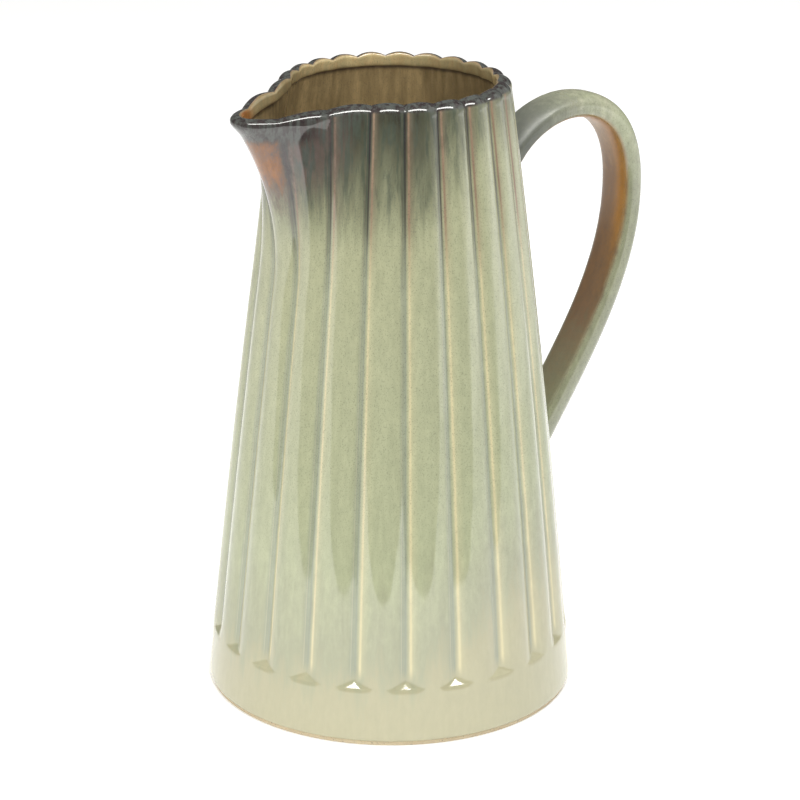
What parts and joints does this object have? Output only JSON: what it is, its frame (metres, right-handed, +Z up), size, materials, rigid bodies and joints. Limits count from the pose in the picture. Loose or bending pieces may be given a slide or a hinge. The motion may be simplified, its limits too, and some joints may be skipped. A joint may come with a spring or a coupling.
{
  "type": "ceramic pitcher",
  "caption": "Tall tapering fluted stoneware pitcher with a pulled spout, a scalloped rim and a strap handle.",
  "frame": {"origin": "centre of the foot ring, on the table", "axes": "+Z up along the body's axis, +X towards the handle, the spout points to -X"},
  "size_m": [0.2011, 0.1486, 0.25],
  "materials": {
    "bare_clay": "bare buff stoneware, matte and slightly gritty",
    "floor_glaze": "glossy olive-brown glaze pooled inside",
    "band_glaze": "glossy cream glaze with a faint crackle of speckle",
    "wall_glaze": "glossy running celadon glaze, dark at the top, cream at the bottom, streaked down the flutes",
    "spout_glaze": "glossy glaze broken to rust brown on the edge of the spout",
    "rim_glaze": "glossy dark brown and grey glaze, thin and pinkish on the crests",
    "handle_glaze": "glossy celadon glaze, rust brown on the inner face, blue-grey near the upper root"
  },
  "bodies": {
    "root": {"foot_ring": "bare_clay", "floor_disc": "floor_glaze", "base_band": "band_glaze", "fluted_wall": "wall_glaze", "spout": "spout_glaze", "rim_bead": "rim_glaze", "handle": "handle_glaze", "handle_upper_joint": "handle_glaze", "handle_lower_joint": "handle_glaze"}
  },
  "joints": []
}
